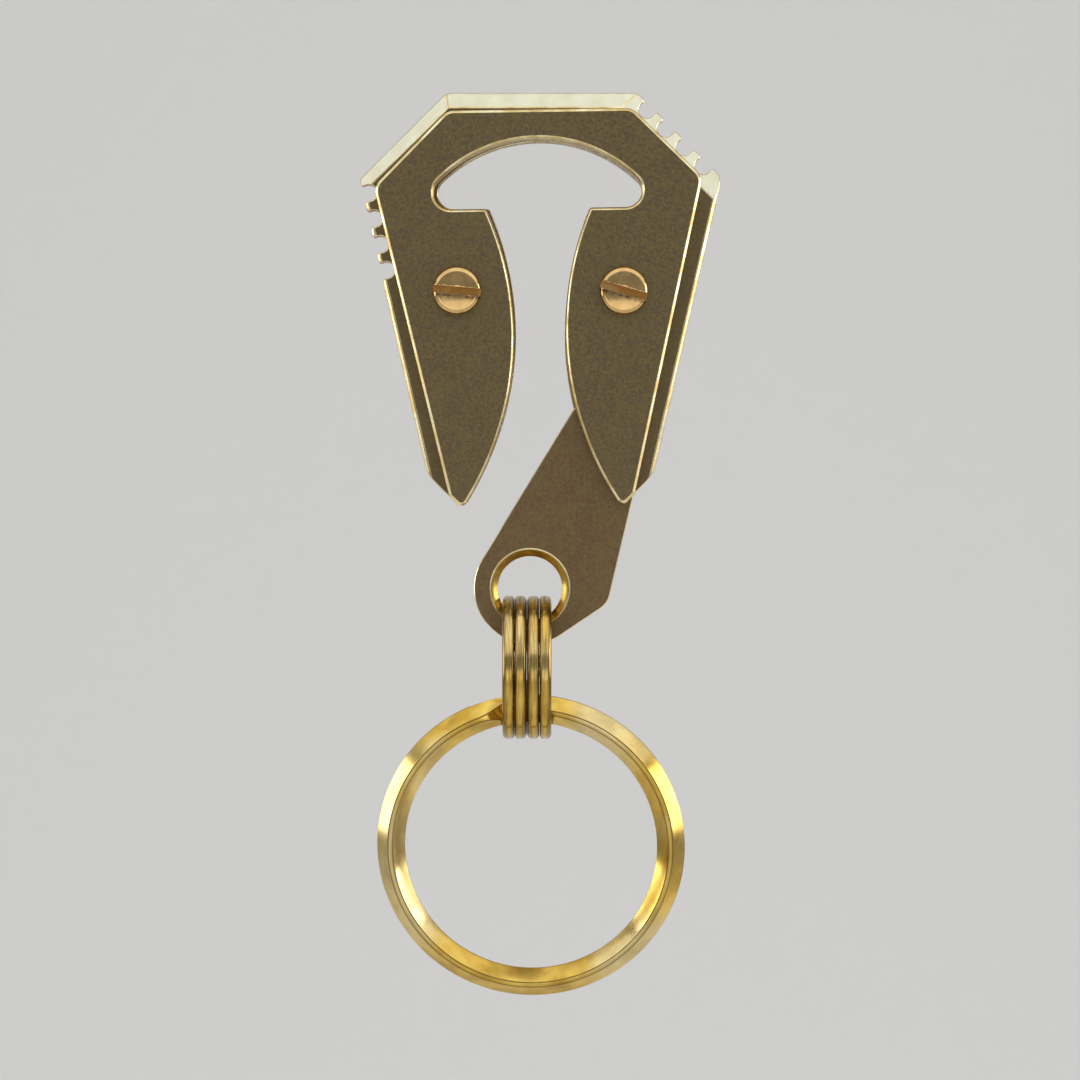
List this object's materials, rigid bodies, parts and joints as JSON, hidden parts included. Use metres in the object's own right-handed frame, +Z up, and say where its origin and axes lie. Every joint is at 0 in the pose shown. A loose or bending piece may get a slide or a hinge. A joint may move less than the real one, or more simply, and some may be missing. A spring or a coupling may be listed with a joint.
{
  "type": "belt key clip",
  "caption": "Flat brass belt clip: twin horseshoe plates with an arched opening, a pivoting tail arm, small link rings and a large split key ring.",
  "frame": {"origin": "crown of the arch that a belt loop hangs in, midway through the clip's thickness", "axes": "+Z up when the clip hangs, +X to the right seen from the front, front plate faces -Y"},
  "size_m": [0.0362, 0.0142, 0.091],
  "materials": {
    "back_plate": "aged matt faces with brushed bright bevels",
    "spacer_plate": "aged matt",
    "front_plate": "aged matt faces with a thin bright edge",
    "screw": "polished",
    "pivot_bronze": "turned bronze",
    "tail_arm": "aged matt, bright countersink",
    "ring": "polished"
  },
  "bodies": {
    "clip": {"back_plate": "back_plate", "spacer_plate": "spacer_plate", "front_plate": "front_plate", "clamp_screw": "screw", "pivot_screw": "screw", "pivot_bush": "pivot_bronze", "front_washer": "pivot_bronze", "back_washer": "pivot_bronze"},
    "arm": {"tail_arm": "tail_arm"},
    "left_link": {"link_ring_left": "ring"},
    "right_link": {"link_ring_right": "ring"},
    "keys": {"key_ring": "ring"}
  },
  "joints": [
    {"name": "arm_swing", "type": "hinge", "parent": "clip", "child": "arm", "pos_m": [0.0083, 0, -0.0152], "axis": [0, 1, 0], "range_deg": [-70, 9]},
    {"name": "left_link_swing", "type": "hinge", "parent": "arm", "child": "left_link", "pos_m": [-0.00104, 0, -0.04482], "axis": [0, 1, 0], "range_deg": [-60, 70]},
    {"name": "right_link_swing", "type": "hinge", "parent": "arm", "child": "right_link", "pos_m": [-0.00104, 0, -0.04482], "axis": [0, 1, 0], "range_deg": [-60, 70]},
    {"name": "key_ring_swing", "type": "hinge", "parent": "left_link", "child": "keys", "pos_m": [-0.00134, 0, -0.05273], "axis": [1, 0, 0], "range_deg": [-85, 64]}
  ],
  "couplings": [
    {"joint": "right_link_swing", "follows": "left_link_swing", "ratio": 1}
  ]
}
